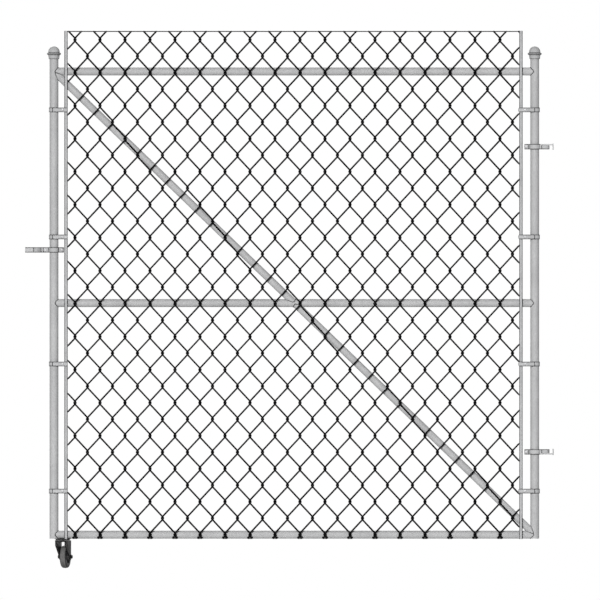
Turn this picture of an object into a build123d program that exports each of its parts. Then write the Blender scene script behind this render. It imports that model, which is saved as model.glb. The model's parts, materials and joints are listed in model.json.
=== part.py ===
"""Single swing chain link gate leaf with a fork latch, strap hinges on pintles and a swivel caster.

Millimetres, +X towards the hinge side, +Y behind the leaf, +Z up. The origin is on the flat back
of the lower pintle bracket, where it is fastened to a post.
"""
import os
from math import acos, atan2, ceil, cos, floor, hypot, radians, sin

from build123d import *

# Leaf frame: two uprights, three rails, two braces
upright_spacing = 2306.0
upright_od = 42.2
upright_wall = 2.8
rail_od = 38.1
rail_wall = 2.5
brace_od = 34.9
brace_wall = 2.3
frame_height = 2222.0
upright_above_top_rail = 86.0
weld_gap = 0.05

# Hinges and pintle brackets
hinge_strap_height = 25.4
hinge_strap_thickness = 7.0
hinge_flange_reach = 49.0
hinge_pin_offset = 51.3
knuckle_radius = 19.5
knuckle_neck_width = 27.0
pin_radius = 9.5
pin_clearance = 0.2
pin_chamfer = 1.5
tab_thickness = 6.3
tab_gap = 0.3
pin_standoff = 40.0
plate_thickness = 6.0
plate_width = 86.0
plate_height = 30.0
plate_corner = 4.0
plate_hole_spacing = 60.0
plate_hole_radius = 5.5
plate_sink_radius = 9.5
lower_hinge_above_bottom_rail = 397.0
upper_hinge_below_top_rail = 361.0

# Clamp bands shared by the hinge straps and the latch
clamp_fit = 0.15
clamp_flange_thickness = 5.0
clamp_flange_gap = 4.0
clamp_bolt_radius = 4.8
clamp_bolt_from_end = 9.0
bolt_hole_clearance = 0.2

# Fork latch
latch_above_bottom_rail = 1366.0
latch_height = 25.4
latch_post_radius = 30.15
latch_post_clearance = 0.35
latch_strap_thickness = 5.0
latch_post_offset = 95.9
latch_tine_end = 138.6
latch_pivot_offset = 43.0
latch_ear_thickness = 6.0
latch_ear_gap = 0.3
latch_ear_end_gap = 2.0
latch_flange_end = 50.4
latch_flange_corner = 5.0
latch_clamp_reach = 47.5
latch_clamp_thickness = 3.0
latch_bolt_radius = 4.8
latch_bolt_clearance = 0.1
latch_bolt_head_radius = 8.5
latch_bolt_head_height = 2.5
latch_bolt_head_round = 1.8
latch_nut_across = 16.0
latch_nut_height = 8.0

# Upright caps
cap_skirt_height = 19.6
cap_skirt_foot_radius = 24.8
cap_skirt_top_radius = 27.6
cap_flange_radius = 33.5
cap_flange_height = 9.6
cap_flange_round = 3.0
cap_dome_radius = 27.3
cap_dome_height = 31.0
cap_fit = 0.2
cap_ledge = 3.0
cap_seat_depth = 26.0

# Wire mesh, tension bars and the wire along the top
mesh_column_pitch = 59.96
mesh_row_pitch = 79.15
mesh_first_column = 100.7
wire_width = 8.4
wire_depth = 5.5
mesh_gap = 0.35
mesh_above_top_rail = 192.0
mesh_below_bottom_rail = 21.0
top_wire_radius = 2.3
bar_width = 16.0
bar_thickness = 5.0
bar_above_mesh = 3.0
bar_gap = 0.1
latch_bar_offset = 57.6
hinge_bar_offset = 66.0
bar_edge_round = 2.4

# Tension bands that hold the bars to the uprights
band_count = 4
first_band_above_bottom_rail = 209.0
last_band_below_top_rail = 184.2
band_height = 22.2
band_thickness = 3.0
band_fit = 0.15
band_bend_end = 33.0
latch_band_past_bar = 0.0
latch_band_tip_round = 2.0
hinge_band_past_bar = 4.5
hinge_band_tip_round = 7.0
band_hole_radius = 4.0

# Caster
ground_below_bottom_rail = 160.0
caster_offset = 42.2
caster_yaw = -15.0
caster_plate_length = 76.0
caster_plate_width = 50.0
caster_plate_mesh_gap = 0.9
caster_plate_thickness = 3.0
caster_plate_corner = 6.0
caster_saddle_width = 22.0
caster_saddle_height = 4.0
race_radius = 34.0
race_height = 4.7
race_gap = 0.3
kingpin_radius = 7.0
kingpin_head_radius = 12.0
kingpin_head_height = 4.0
running_clearance = 0.1
yoke_top_thickness = 4.0
yoke_top_corner = 12.0
yoke_length = 108.0
cheek_thickness = 7.5
cheek_front_height = 25.0
wheel_radius = 54.0
wheel_width = 29.0
wheel_side_gap = 5.0
wheel_trail = 46.0
axle_radius = 6.0
axle_end = 36.0
axle_thread_end = 1.5
axle_nut_radius = 10.0
axle_boss_radius = 16.0
hub_radius = 17.0
rim_radius = 38.0
rim_wall = 5.0
spoke_count = 5
spoke_width = 9.0
spoke_thickness = 12.0
hub_end_gap = 0.5
tyre_crown = 2.0
tyre_shoulder = 2.5

# Places worked out from the sizes
upright_radius = upright_od / 2
rail_radius = rail_od / 2
brace_radius = brace_od / 2
rail_y = rail_radius - upright_radius
brace_y = brace_radius - upright_radius
hinge_axis_x = -pin_standoff
hinge_upright_x = hinge_axis_x - hinge_pin_offset
latch_upright_x = hinge_upright_x - upright_spacing
bottom_rail_z = -lower_hinge_above_bottom_rail
top_rail_z = bottom_rail_z + frame_height
middle_rail_z = (bottom_rail_z + top_rail_z) / 2
frame_middle_x = (latch_upright_x + hinge_upright_x) / 2
upper_hinge_z = top_rail_z - upper_hinge_below_top_rail
upright_foot_z = bottom_rail_z - rail_radius
upright_top_z = top_rail_z + upright_above_top_rail
cap_foot_z = upright_top_z - cap_seat_depth
latch_z = bottom_rail_z + latch_above_bottom_rail
ground_z = bottom_rail_z - ground_below_bottom_rail
mesh_back_y = -upright_radius - mesh_gap
mesh_front_y = mesh_back_y - wire_depth
mesh_top_z = top_rail_z + mesh_above_top_rail
mesh_foot_z = bottom_rail_z - mesh_below_bottom_rail
bar_back_y = mesh_front_y - bar_gap
bar_front_y = bar_back_y - bar_thickness
bar_top_z = mesh_top_z + bar_above_mesh
latch_bar_x = latch_upright_x + latch_bar_offset
hinge_bar_x = hinge_upright_x - hinge_bar_offset
mesh_first_x = latch_upright_x + mesh_first_column
mesh_half_columns = (hinge_bar_x - mesh_first_x) // mesh_column_pitch // 2
mesh_half_rows = (mesh_top_z - bottom_rail_z) // mesh_row_pitch // 2
mesh_middle_x = mesh_first_x + (mesh_half_columns + 0.5) * mesh_column_pitch
mesh_middle_z = bottom_rail_z + mesh_half_rows * mesh_row_pitch
mesh_ceiling_z = mesh_top_z - top_wire_radius
banded_height = frame_height - first_band_above_bottom_rail - last_band_below_top_rail
band_spacing = banded_height / (band_count - 1)

os.makedirs("parts", exist_ok=True)


def save(piece, label):
    """Name a finished piece and write its STEP file."""
    piece.label = label
    export_step(piece, f"parts/{label}.step")


def along_x(start_x, z):
    """Plane at the start of a rail, facing along +X; the rails' fronts are level with the uprights'."""
    return Plane(origin=(start_x, rail_y, z), x_dir=(0, 1, 0), z_dir=(1, 0, 0))


def build_upright(x):
    """A tube from the underside of the bottom rail up into its cap."""
    with BuildPart() as upright:
        with BuildSketch(Plane((x, 0, upright_foot_z))):
            Circle(upright_radius)
            Circle(upright_radius - upright_wall, mode=Mode.SUBTRACT)
        extrude(amount=upright_top_z - upright_foot_z)
    return upright.part


def build_upright_cores():
    """Both uprights as solid rods, to cope the ends of what meets them."""
    with BuildPart() as cores:
        with BuildSketch(Plane((0, 0, upright_foot_z - upright_od))):
            with Locations((latch_upright_x, 0), (hinge_upright_x, 0)):
                Circle(upright_radius + weld_gap)
        extrude(amount=upright_top_z - upright_foot_z + 2 * upright_od)
    return cores.part


def build_rail_cores():
    """The three rails as solid rods, to cope the ends of the braces."""
    with BuildPart() as cores:
        with BuildSketch(along_x(latch_upright_x - upright_od, 0)):
            with Locations((0, bottom_rail_z), (0, middle_rail_z), (0, top_rail_z)):
                Circle(rail_radius + weld_gap)
        extrude(amount=upright_spacing + 2 * upright_od)
    return cores.part


def build_rail(z):
    """A tube between the uprights, coped to them at both ends."""
    with BuildPart() as rail:
        with BuildSketch(along_x(latch_upright_x, z)):
            Circle(rail_radius)
            Circle(rail_radius - rail_wall, mode=Mode.SUBTRACT)
        extrude(amount=upright_spacing)
        add(upright_cores, mode=Mode.SUBTRACT)
    return rail.part


def build_brace(start_x, start_z, end_x, end_z):
    """A tube on the frame's diagonal, coped to the members that it meets."""
    run = Vector(end_x - start_x, 0, end_z - start_z)
    start = Plane(origin=(start_x, brace_y, start_z), x_dir=(0, 1, 0), z_dir=run.normalized())
    with BuildPart() as brace:
        with BuildSketch(start):
            Circle(brace_radius)
            Circle(brace_radius - brace_wall, mode=Mode.SUBTRACT)
        extrude(amount=run.length)
        add(upright_cores, mode=Mode.SUBTRACT)
        add(rail_cores, mode=Mode.SUBTRACT)
    return brace.part


def build_cap(x):
    """A domed cap with a flange, hollow, pushed down over the top of an upright."""
    flange_foot = cap_skirt_height
    flange_top = flange_foot + cap_flange_height
    flange_edge = cap_flange_radius - cap_flange_round
    dome_top = flange_top + cap_dome_height
    dome_centre = dome_top - cap_dome_radius
    seat_radius = upright_radius + cap_fit
    hollow_radius = seat_radius - cap_ledge
    with BuildPart() as cap:
        with BuildSketch(Plane(origin=(x, 0, cap_foot_z), x_dir=(1, 0, 0), z_dir=(0, -1, 0))):
            with BuildLine():
                Polyline(
                    (0, dome_centre + hollow_radius),
                    (0, dome_top),
                )
                CenterArc((0, dome_centre), cap_dome_radius, 0, 90)
                Polyline(
                    (cap_dome_radius, dome_centre),
                    (cap_dome_radius, flange_top),
                    (flange_edge, flange_top),
                )
                ThreePointArc(
                    (flange_edge, flange_top),
                    (cap_flange_radius, flange_foot + cap_flange_height / 2),
                    (flange_edge, flange_foot),
                )
                Polyline(
                    (flange_edge, flange_foot),
                    (cap_skirt_top_radius, flange_foot),
                    (cap_skirt_foot_radius, 0),
                    (seat_radius, 0),
                    (seat_radius, cap_seat_depth),
                    (hollow_radius, cap_seat_depth),
                    (hollow_radius, dome_centre),
                )
                CenterArc((0, dome_centre), hollow_radius, 0, 90)
            make_face()
        revolve(axis=Axis((x, 0, 0), (0, 0, 1)))
    return cap.part


def build_bar(x):
    """A flat tension bar in front of the mesh edge."""
    with BuildPart() as bar:
        with BuildSketch(Plane((x, (bar_front_y + bar_back_y) / 2, mesh_foot_z))):
            RectangleRounded(bar_width, bar_thickness, bar_edge_round)
        extrude(amount=bar_top_z - mesh_foot_z)
    return bar.part


def build_band(upright_x, side, bar_offset, past_bar, tip_round, z):
    """A strap bent round an upright, with both legs gripping the bar and the mesh edge.

    side is +1 where the bar lies at +X of the upright and -1 where it lies at -X. The legs end past_bar
    beyond the bar, with corners of radius tip_round.
    """
    ring = upright_radius + band_fit + band_thickness / 2
    leg_end = bar_offset + bar_width / 2 + past_bar
    front_y = bar_front_y - band_thickness / 2
    back_y = mesh_back_y + band_thickness / 2 + bar_gap
    meet = hypot(band_bend_end, back_y)
    leave = atan2(back_y, band_bend_end) + acos(ring / meet)
    far_end = (side * ring * cos(leave), ring * sin(leave))
    with BuildPart() as band:
        with BuildSketch(Plane((upright_x, 0, z - band_height / 2))):
            with BuildLine():
                Polyline(
                    (side * leg_end, front_y),
                    (side * band_bend_end, front_y),
                    (0, -ring),
                )
                ThreePointArc((0, -ring), (-side * ring, 0), far_end)
                Polyline(far_end, (side * band_bend_end, back_y), (side * leg_end, back_y))
            trace(line_width=band_thickness)
        extrude(amount=band_height)
        across = band.edges().filter_by(Axis.Y).group_by(Axis.X)
        fillet(across[-1] if side > 0 else across[0], tip_round)
        with Locations(Plane((upright_x, 0, z), x_dir=(1, 0, 0), z_dir=(0, -1, 0))):
            with Locations((side * (band_bend_end + bar_offset - bar_width / 2) / 2, 0)):
                Hole(band_hole_radius)
    return band.part


def lattice_lines(first, pitch, start, end):
    """Numbers of the lattice lines between two places, with two more beyond each end."""
    return range(floor((start - first) / pitch) - 1, ceil((end - first) / pitch) + 2)


def build_mesh(start_x, end_x, start_z, end_z):
    """One rectangle of the wire mesh, flat bars fused where they cross."""
    half_gap = wire_width / 2
    clear = mesh_column_pitch * mesh_row_pitch / hypot(mesh_column_pitch, mesh_row_pitch)
    opening = 1 - half_gap / clear
    wide = mesh_column_pitch * opening
    tall = mesh_row_pitch * opening
    holes = []
    for column in lattice_lines(mesh_first_x, mesh_column_pitch, start_x, end_x):
        for row in lattice_lines(bottom_rail_z, mesh_row_pitch, start_z, end_z):
            x = mesh_first_x + column * mesh_column_pitch
            z = bottom_rail_z + row * mesh_row_pitch
            inside = start_x - wide < x < end_x + wide and start_z - tall < z < end_z + tall
            if (column + row) % 2 and inside:
                holes.append((x, z))
    with BuildPart() as panel:
        with BuildSketch(Plane(origin=(0, mesh_back_y, 0), x_dir=(1, 0, 0), z_dir=(0, -1, 0))):
            with Locations(((start_x + end_x) / 2, (start_z + end_z) / 2)):
                Rectangle(end_x - start_x, end_z - start_z)
            with BuildSketch(mode=Mode.SUBTRACT):
                with Locations(holes):
                    Polygon((wide, 0), (0, tall), (-wide, 0), (0, -tall), align=None)
        extrude(amount=wire_depth)
    return panel.part.solids().sort_by(SortBy.VOLUME)[-1]


def build_top_wire():
    """The wire along the top edge of the mesh, from bar to bar."""
    wire_y = (mesh_front_y + mesh_back_y) / 2
    start_x = latch_bar_x - bar_width / 2
    with BuildPart() as wire:
        plane = Plane(origin=(start_x, wire_y, mesh_top_z), x_dir=(0, 1, 0), z_dir=(1, 0, 0))
        with BuildSketch(plane):
            Circle(top_wire_radius)
        extrude(amount=hinge_bar_x + bar_width / 2 - start_x)
    return wire.part


def build_clamp(upright_x, z, height, thickness, flanges):
    """A ring round an upright with pairs of flat flanges.

    Each pair is a side, +1 towards +X or -1 towards -X, its reach from the upright's axis and the
    gap between its two flanges.
    """
    with BuildPart() as clamp:
        with BuildSketch(Plane((upright_x, 0, z - height / 2))):
            Circle(upright_radius + clamp_fit + thickness)
            for side, reach, gap in flanges:
                with Locations((side * (reach + upright_radius) / 2, 0)):
                    Rectangle(reach - upright_radius, gap + 2 * clamp_flange_thickness)
            Circle(upright_radius + clamp_fit, mode=Mode.SUBTRACT)
            for side, reach, gap in flanges:
                with Locations((side * (reach + upright_radius) / 2, 0)):
                    Rectangle(reach - upright_radius, gap, mode=Mode.SUBTRACT)
        extrude(amount=height)
    return clamp.part


def cross_bolt_hole(x, z, radius):
    """A bolt hole along Y through the piece in work."""
    with Locations(Plane((x, 0, z), x_dir=(1, 0, 0), z_dir=(0, -1, 0))):
        Hole(radius)


def build_hinge_strap(z, pin_up):
    """A strap round the hinge upright with a bored knuckle at its end for the pintle."""
    foot = z - hinge_strap_height / 2
    knuckle_height = hinge_strap_height - tab_thickness - tab_gap
    knuckle_foot = foot + tab_thickness + tab_gap if pin_up else foot
    ring_outside = upright_radius + clamp_fit + hinge_strap_thickness / 2
    neck_length = hinge_pin_offset - ring_outside
    bolt_x = hinge_upright_x - hinge_flange_reach + clamp_bolt_from_end
    clamp = build_clamp(
        hinge_upright_x,
        z,
        hinge_strap_height,
        hinge_strap_thickness,
        [(-1, hinge_flange_reach, clamp_flange_gap)],
    )
    with BuildPart() as strap:
        add(clamp)
        with BuildSketch(Plane((hinge_axis_x, 0, knuckle_foot))):
            Circle(knuckle_radius)
            with Locations((-neck_length / 2, 0)):
                Rectangle(neck_length, knuckle_neck_width)
            Circle(pin_radius + pin_clearance, mode=Mode.SUBTRACT)
        extrude(amount=knuckle_height)
        cross_bolt_hole(bolt_x, z, clamp_bolt_radius + bolt_hole_clearance)
    return strap.part


def build_pintle(z, pin_up):
    """A post-side bracket: a drilled plate, a level tab and the pin that the knuckle turns on."""
    half = hinge_strap_height / 2
    tab_foot = z - half if pin_up else z + half - tab_thickness
    with BuildPart() as pintle:
        plate = Plane(origin=(-plate_thickness, 0, z), x_dir=(0, 1, 0), z_dir=(1, 0, 0))
        with BuildSketch(plate):
            RectangleRounded(plate_width, plate_height, plate_corner)
        extrude(amount=plate_thickness)
        with BuildSketch(Plane((0, 0, tab_foot))):
            with Locations((hinge_axis_x, 0)):
                Circle(knuckle_radius)
            with Locations((hinge_axis_x / 2 - plate_thickness / 2, 0)):
                Rectangle(pin_standoff - plate_thickness, 2 * knuckle_radius)
        extrude(amount=tab_thickness)
        with BuildSketch(Plane((hinge_axis_x, 0, z - half))):
            Circle(pin_radius)
        extrude(amount=hinge_strap_height)
        tip = pintle.edges().filter_by(GeomType.CIRCLE).sort_by(Axis.Z)
        chamfer(tip[-1] if pin_up else tip[0], pin_chamfer)
        with Locations(Plane(origin=(-plate_thickness, 0, z), x_dir=(0, 1, 0), z_dir=(-1, 0, 0))):
            with Locations((-plate_hole_spacing / 2, 0), (plate_hole_spacing / 2, 0)):
                CounterSinkHole(plate_hole_radius, plate_sink_radius, plate_thickness)
    return pintle.part


def build_latch_clamp():
    """The clamp on the latch upright, with two flanges for the fork and two for its bolt."""
    fork_gap = latch_ear_thickness + 2 * latch_ear_gap
    pivot_x = latch_upright_x - latch_pivot_offset
    bolt_x = latch_upright_x + latch_clamp_reach - clamp_bolt_from_end
    body = build_clamp(
        latch_upright_x,
        latch_z,
        latch_height,
        latch_clamp_thickness,
        [(-1, latch_flange_end, fork_gap), (1, latch_clamp_reach, clamp_flange_gap)],
    )
    with BuildPart() as clamp:
        add(body)
        fillet(clamp.edges().filter_by(Axis.Y).group_by(Axis.X)[0], latch_flange_corner)
        pivot = Plane((pivot_x, fork_gap / 2, latch_z), x_dir=(1, 0, 0), z_dir=(0, -1, 0))
        with BuildSketch(pivot):
            Circle(latch_height / 2 + latch_ear_end_gap)
        extrude(amount=fork_gap, mode=Mode.SUBTRACT)
        cross_bolt_hole(pivot_x, latch_z, latch_bolt_radius + bolt_hole_clearance)
        cross_bolt_hole(bolt_x, latch_z, clamp_bolt_radius + bolt_hole_clearance)
    return clamp.part


def build_latch_fork():
    """The fork that drops over the latch post: a U-strap with an ear on its back."""
    inner = latch_post_radius + latch_post_clearance
    outer = inner + latch_strap_thickness
    post_x = latch_upright_x - latch_post_offset
    pivot_x = latch_upright_x - latch_pivot_offset
    tine = latch_tine_end - latch_post_offset
    foot = latch_z - latch_height / 2
    with BuildPart() as fork:
        with BuildSketch(Plane((post_x, 0, foot))):
            Circle(outer)
            with Locations((-tine / 2, 0)):
                Rectangle(tine, 2 * outer)
        extrude(amount=latch_height)
        ear = Plane((0, latch_ear_thickness / 2, latch_z), x_dir=(1, 0, 0), z_dir=(0, -1, 0))
        with BuildSketch(ear):
            with Locations((pivot_x, 0)):
                Circle(latch_height / 2)
            with Locations(((post_x + pivot_x) / 2, 0)):
                Rectangle(pivot_x - post_x, latch_height)
        extrude(amount=latch_ear_thickness)
        with BuildSketch(Plane((post_x, 0, foot))):
            Circle(inner)
            with Locations((-outer, 0)):
                Rectangle(2 * outer, 2 * inner)
        extrude(amount=latch_height, mode=Mode.SUBTRACT)
        cross_bolt_hole(pivot_x, latch_z, latch_bolt_radius + latch_bolt_clearance)
    return fork.part


def build_latch_bolt():
    """The bolt that the fork turns on, domed in front and with a nut behind."""
    half = latch_ear_thickness / 2 + latch_ear_gap + clamp_flange_thickness
    pivot_x = latch_upright_x - latch_pivot_offset
    front = Plane((pivot_x, -half, latch_z), x_dir=(1, 0, 0), z_dir=(0, -1, 0))
    with BuildPart() as bolt:
        with BuildSketch(front):
            Circle(latch_bolt_radius)
        extrude(amount=-2 * half)
        with BuildSketch(front):
            Circle(latch_bolt_head_radius)
        extrude(amount=latch_bolt_head_height)
        fillet(bolt.edges().sort_by(Axis.Y)[0], latch_bolt_head_round)
        with BuildSketch(Plane((pivot_x, half, latch_z), x_dir=(1, 0, 0), z_dir=(0, 1, 0))):
            RegularPolygon(latch_nut_across / 2, 6, major_radius=False)
        extrude(amount=latch_nut_height)
    return bolt.part


# Caster heights and its own axes, with X along the axle and Y from the kingpin to the wheel
caster_x = latch_upright_x + caster_offset
plate_front_y = mesh_back_y + caster_plate_mesh_gap
plate_foot_z = upright_foot_z - caster_plate_thickness
race_foot_z = plate_foot_z - race_height
yoke_top_z = race_foot_z - race_gap
yoke_foot_z = yoke_top_z - yoke_top_thickness
wheel_z = ground_z + wheel_radius
yoke_inner = wheel_width / 2 + wheel_side_gap
yoke_outer = yoke_inner + cheek_thickness
axle_dir = Vector(cos(radians(caster_yaw)), sin(radians(caster_yaw)), 0)
trail_dir = Vector(-sin(radians(caster_yaw)), cos(radians(caster_yaw)), 0)
wheel_centre = Vector(caster_x, 0, wheel_z) + trail_dir * wheel_trail


def level(z):
    """A level plane on the swivel axis, turned with the caster."""
    return Plane(origin=(caster_x, 0, z), x_dir=axle_dir, z_dir=(0, 0, 1))


def across(distance):
    """A plane square to the axle, this far along it from the wheel's middle."""
    return Plane(origin=wheel_centre + axle_dir * distance, x_dir=trail_dir, z_dir=axle_dir)


def build_caster_plate():
    """The plate welded under the bottom rail, with the upper bearing race below it."""
    with BuildPart() as plate:
        with BuildSketch(Plane((caster_x, plate_front_y + caster_plate_width / 2, plate_foot_z))):
            RectangleRounded(caster_plate_length, caster_plate_width, caster_plate_corner)
        extrude(amount=caster_plate_thickness)
        with Locations((caster_x, rail_y, upright_foot_z + caster_saddle_height / 2)):
            Box(caster_plate_length, caster_saddle_width, caster_saddle_height)
        with BuildSketch(Plane((latch_upright_x, 0, upright_foot_z))):
            Circle(upright_radius + weld_gap)
        extrude(amount=upright_od, mode=Mode.SUBTRACT)
        add(rail_cores, mode=Mode.SUBTRACT)
        with BuildSketch(Plane((caster_x, 0, race_foot_z))):
            Circle(race_radius)
        extrude(amount=race_height)
    return plate.part


def build_kingpin():
    """The swivel bolt, its shank in the race and its head under the yoke."""
    head_top = yoke_foot_z - race_gap
    with BuildPart() as kingpin:
        with BuildSketch(Plane((caster_x, 0, head_top))):
            Circle(kingpin_radius)
        extrude(amount=race_foot_z - head_top)
        with BuildSketch(Plane((caster_x, 0, head_top - kingpin_head_height))):
            RegularPolygon(kingpin_head_radius, 6)
        extrude(amount=kingpin_head_height)
    return kingpin.part


def build_yoke():
    """The caster fork: a top plate over the wheel and two cheeks down to the axle."""
    top = yoke_top_z - wheel_z
    front = -wheel_trail - yoke_length / 2
    back = -wheel_trail + yoke_length / 2
    with BuildPart() as yoke:
        with BuildSketch(level(yoke_foot_z)):
            RectangleRounded(2 * yoke_outer, yoke_length, yoke_top_corner)
        extrude(amount=yoke_top_thickness)
        for start in (-yoke_outer, yoke_inner):
            with BuildSketch(across(start)):
                with BuildLine():
                    Polyline(
                        (front + yoke_top_corner, top),
                        (front + yoke_top_corner, top - cheek_front_height),
                        (-axle_boss_radius, 0),
                        (back, 0),
                        (back, top),
                        (front + yoke_top_corner, top),
                    )
                make_face()
                Circle(axle_boss_radius)
            extrude(amount=cheek_thickness)
        with BuildSketch(level(yoke_foot_z)):
            Circle(kingpin_radius + running_clearance)
        extrude(amount=yoke_top_thickness, mode=Mode.SUBTRACT)
        with BuildSketch(across(-yoke_outer)):
            Circle(axle_radius)
        extrude(amount=2 * yoke_outer, mode=Mode.SUBTRACT)
    return yoke.part


def build_axle():
    """The axle bolt through the yoke, with a head and a nut outside the cheeks."""
    with BuildPart() as axle:
        with BuildSketch(across(-axle_end)):
            Circle(axle_radius)
        extrude(amount=2 * axle_end)
        nut_height = axle_end - axle_thread_end - yoke_outer
        for start in (-yoke_outer - nut_height, yoke_outer):
            with BuildSketch(across(start)):
                RegularPolygon(axle_nut_radius, 6)
            extrude(amount=nut_height)
    return axle.part


def build_hub():
    """The wheel centre: a bored hub, five spokes and the rim that carries the tyre."""
    half_width = wheel_width / 2
    hub_half = yoke_inner - hub_end_gap
    with BuildPart() as hub:
        with BuildSketch(across(-hub_half)):
            Circle(hub_radius)
        extrude(amount=2 * hub_half)
        with BuildSketch(across(-half_width)):
            Circle(rim_radius)
            Circle(rim_radius - rim_wall, mode=Mode.SUBTRACT)
        extrude(amount=wheel_width)
        with BuildSketch(across(-spoke_thickness / 2)):
            with PolarLocations((hub_radius + rim_radius - rim_wall) / 2, spoke_count):
                Rectangle(rim_radius - hub_radius, spoke_width)
        extrude(amount=spoke_thickness)
        with BuildSketch(across(-hub_half)):
            Circle(axle_radius + running_clearance)
        extrude(amount=2 * hub_half, mode=Mode.SUBTRACT)
    return hub.part


def build_tyre():
    """The rubber tread, slightly crowned, with cut shoulders."""
    half_width = wheel_width / 2
    profile = Plane(origin=wheel_centre, x_dir=axle_dir, z_dir=trail_dir)
    edge = wheel_radius - tyre_crown
    shoulder = half_width - tyre_shoulder
    with BuildPart() as tyre:
        with BuildSketch(profile):
            with BuildLine():
                Polyline(
                    (-shoulder, edge),
                    (-half_width, edge - tyre_shoulder),
                    (-half_width, rim_radius),
                    (half_width, rim_radius),
                    (half_width, edge - tyre_shoulder),
                    (shoulder, edge),
                )
                ThreePointArc((shoulder, edge), (0, wheel_radius), (-shoulder, edge))
            make_face()
        revolve(axis=Axis(wheel_centre, axle_dir))
    return tyre.part


# Frame
upright_cores = build_upright_cores()
rail_cores = build_rail_cores()
save(build_upright(latch_upright_x), "latch_upright")
save(build_upright(hinge_upright_x), "hinge_upright")
save(build_rail(top_rail_z), "top_rail")
save(build_rail(middle_rail_z), "middle_rail")
save(build_rail(bottom_rail_z), "bottom_rail")
save(build_brace(latch_upright_x, top_rail_z, frame_middle_x, middle_rail_z), "upper_brace")
save(build_brace(frame_middle_x, middle_rail_z, hinge_upright_x, bottom_rail_z), "lower_brace")
save(build_cap(latch_upright_x), "latch_upright_cap")
save(build_cap(hinge_upright_x), "hinge_upright_cap")

# Mesh and what holds it
save(build_mesh(latch_bar_x, mesh_middle_x, mesh_middle_z, mesh_ceiling_z), "mesh_upper_latch_side")
save(build_mesh(mesh_middle_x, hinge_bar_x, mesh_middle_z, mesh_ceiling_z), "mesh_upper_hinge_side")
save(build_mesh(latch_bar_x, mesh_middle_x, mesh_foot_z, mesh_middle_z), "mesh_lower_latch_side")
save(build_mesh(mesh_middle_x, hinge_bar_x, mesh_foot_z, mesh_middle_z), "mesh_lower_hinge_side")
save(build_top_wire(), "top_wire")
save(build_bar(latch_bar_x), "latch_tension_bar")
save(build_bar(hinge_bar_x), "hinge_tension_bar")
for number in range(band_count):
    band_z = bottom_rail_z + first_band_above_bottom_rail + number * band_spacing
    latch_band = build_band(
        latch_upright_x, 1, latch_bar_offset, latch_band_past_bar, latch_band_tip_round, band_z
    )
    hinge_band = build_band(
        hinge_upright_x, -1, hinge_bar_offset, hinge_band_past_bar, hinge_band_tip_round, band_z
    )
    save(latch_band, f"latch_tension_band_{number + 1}")
    save(hinge_band, f"hinge_tension_band_{number + 1}")

# Hinges and latch
save(build_pintle(0, True), "lower_pintle")
save(build_pintle(upper_hinge_z, False), "upper_pintle")
save(build_hinge_strap(0, True), "lower_hinge_strap")
save(build_hinge_strap(upper_hinge_z, False), "upper_hinge_strap")
clamp_front, clamp_back = build_latch_clamp().solids().sort_by(Axis.Y)
save(clamp_front, "latch_clamp_front")
save(clamp_back, "latch_clamp_back")
save(build_latch_bolt(), "latch_pivot_bolt")
save(build_latch_fork(), "latch_fork")

# Caster
save(build_caster_plate(), "caster_plate")
save(build_kingpin(), "caster_kingpin")
save(build_yoke(), "caster_yoke")
save(build_axle(), "caster_axle")
save(build_hub(), "wheel_hub")
save(build_tyre(), "wheel_tyre")
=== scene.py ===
"""Looks for the chain link gate leaf: materials, woven wire, welds, fasteners, light and camera.

Metres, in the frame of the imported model: +X towards the hinge side, +Y behind the leaf, +Z up.
"""
import json
from math import cos, pi, radians, sin, sqrt

import bpy
from mathutils import Matrix, Vector


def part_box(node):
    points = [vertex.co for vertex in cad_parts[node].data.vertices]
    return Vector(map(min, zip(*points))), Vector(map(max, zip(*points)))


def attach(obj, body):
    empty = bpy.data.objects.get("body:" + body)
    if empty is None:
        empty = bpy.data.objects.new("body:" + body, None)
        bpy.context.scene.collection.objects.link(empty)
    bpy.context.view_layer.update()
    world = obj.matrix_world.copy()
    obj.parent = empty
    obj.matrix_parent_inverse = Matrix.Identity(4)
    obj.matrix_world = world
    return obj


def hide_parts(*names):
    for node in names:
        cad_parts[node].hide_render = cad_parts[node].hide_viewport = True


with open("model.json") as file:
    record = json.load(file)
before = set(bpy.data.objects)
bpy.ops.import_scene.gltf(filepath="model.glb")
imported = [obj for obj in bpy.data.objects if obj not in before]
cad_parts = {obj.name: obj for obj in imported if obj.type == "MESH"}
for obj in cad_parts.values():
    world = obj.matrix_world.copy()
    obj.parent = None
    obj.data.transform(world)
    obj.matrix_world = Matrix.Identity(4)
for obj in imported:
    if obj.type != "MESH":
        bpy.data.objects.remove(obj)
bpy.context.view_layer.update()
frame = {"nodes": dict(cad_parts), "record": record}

MM = 0.001
X, Z = 0, 2
nodes = frame["nodes"]


def middle(node):
    """Middle of a node's box."""
    low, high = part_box(node)
    return (low + high) / 2


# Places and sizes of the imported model
upright_radius = 21.1 * MM
rail_radius = 19.05 * MM
brace_radius = 17.45 * MM
bar_half_width = 8 * MM
bar_half_depth = 2.5 * MM
latch_upright = middle("latch_upright")
hinge_upright = middle("hinge_upright")
top_rail = middle("top_rail")
middle_rail = middle("middle_rail")
bottom_rail = middle("bottom_rail")
brace_y = middle("upper_brace").y
latch_bar = middle("latch_tension_bar")
hinge_bar = middle("hinge_tension_bar")
top_wire = middle("top_wire")
mesh_back_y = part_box("mesh_upper_latch_side")[1].y
mesh_foot_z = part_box("mesh_lower_latch_side")[0].z
ground_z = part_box("wheel_tyre")[0].z
wheel_centre = middle("wheel_tyre")
tyre_shoulder = 51.8 * MM
axle_yaw = radians(-15)
axle_dir = Vector((cos(axle_yaw), sin(axle_yaw), 0))
band_names = [f"{side}_tension_band_{number}" for side in ("latch", "hinge") for number in (1, 2, 3, 4)]

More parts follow.
